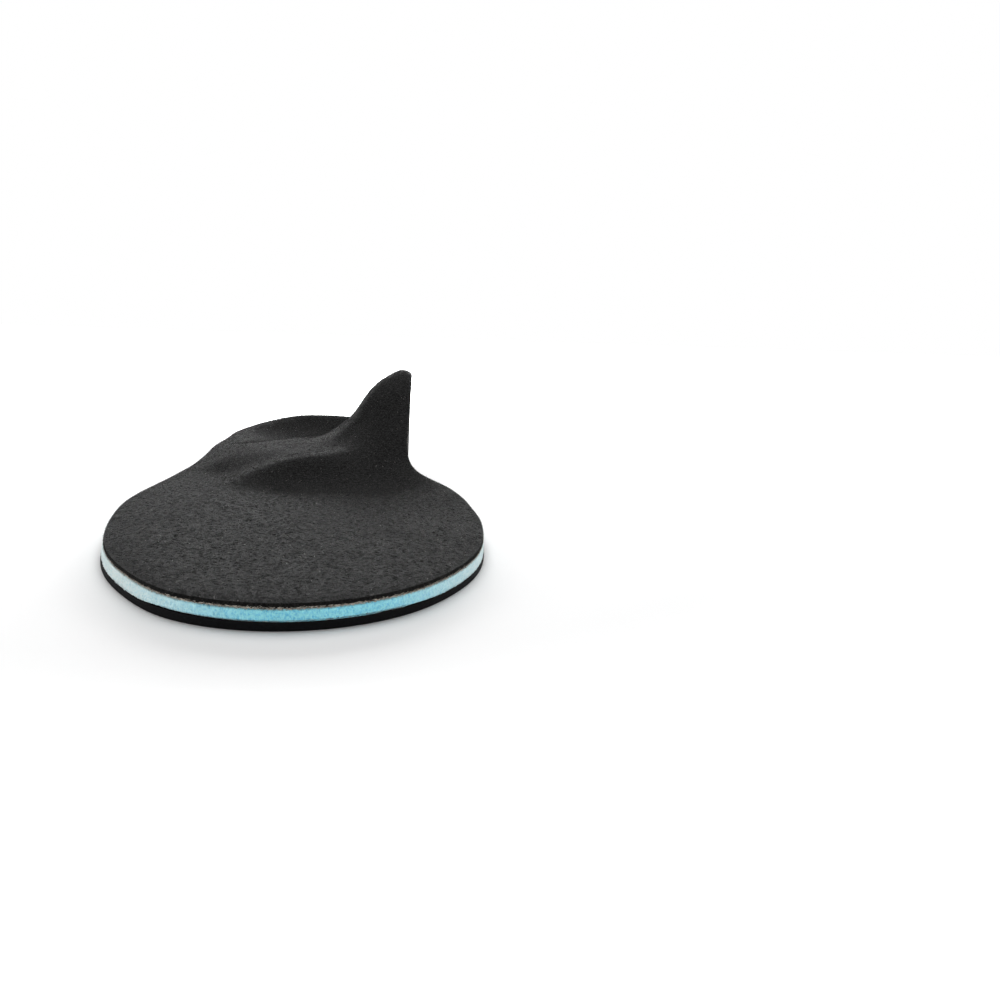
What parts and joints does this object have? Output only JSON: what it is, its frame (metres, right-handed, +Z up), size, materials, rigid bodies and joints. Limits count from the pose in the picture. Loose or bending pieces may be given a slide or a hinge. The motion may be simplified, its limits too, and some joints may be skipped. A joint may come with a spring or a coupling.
{
  "type": "orthopedic insole",
  "caption": "Full-length orthopedic insole for the right foot, with a high arch wing, a pad behind the ball of the foot and a heel cup.",
  "frame": {"origin": "on the flat underside, at half the length, on the middle line of the heel", "axes": "-Y towards the toe, +Y towards the heel, +X towards the arch side of the foot, +Z up out of the upper face"},
  "size_m": [0.0937, 0.2658, 0.0391],
  "materials": {
    "cover_cloth": "brushed black cloth",
    "foam": "open-cell light blue foam",
    "base": "matte black moulded foam rubber"
  },
  "bodies": {
    "root": {"top_cover": "cover_cloth", "foam_layer": "foam", "base_shell": "base"}
  },
  "joints": []
}
